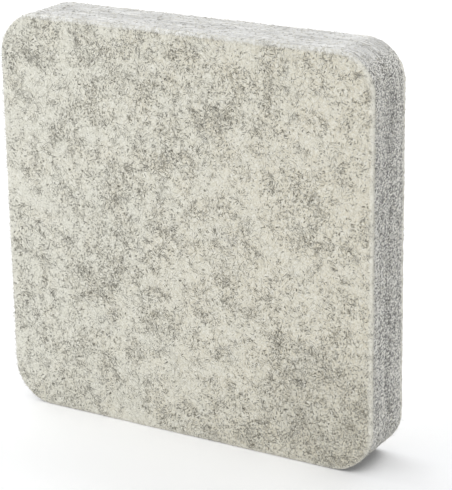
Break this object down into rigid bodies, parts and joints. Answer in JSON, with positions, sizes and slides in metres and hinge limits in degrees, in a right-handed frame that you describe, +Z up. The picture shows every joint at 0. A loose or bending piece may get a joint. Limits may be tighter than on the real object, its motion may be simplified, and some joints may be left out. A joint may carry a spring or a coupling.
{
  "type": "needle felting mat",
  "caption": "Square needle felting mat of dense marled wool felt, thick sheets bonded face to face and die-cut with rounded corners, a firm bed to push felting needles into.",
  "frame": {"origin": "on the ground, under the middle of the mat as it stands on its lower cut edge", "axes": "+X across the mat to the right of someone facing the working face, +Y through the thickness towards the back sheet, +Z up"},
  "size_m": [0.2032, 0.0318, 0.2032],
  "materials": {
    "wool_felt": "marled undyed wool felt, cream with grey fibres, matt and slightly hairy",
    "adhesive_web": "thin hot-melt adhesive web soaked into the felt, matt"
  },
  "bodies": {
    "root": {"front_felt_sheet": "wool_felt", "back_felt_sheet": "wool_felt", "bond_web": "adhesive_web"}
  },
  "joints": []
}
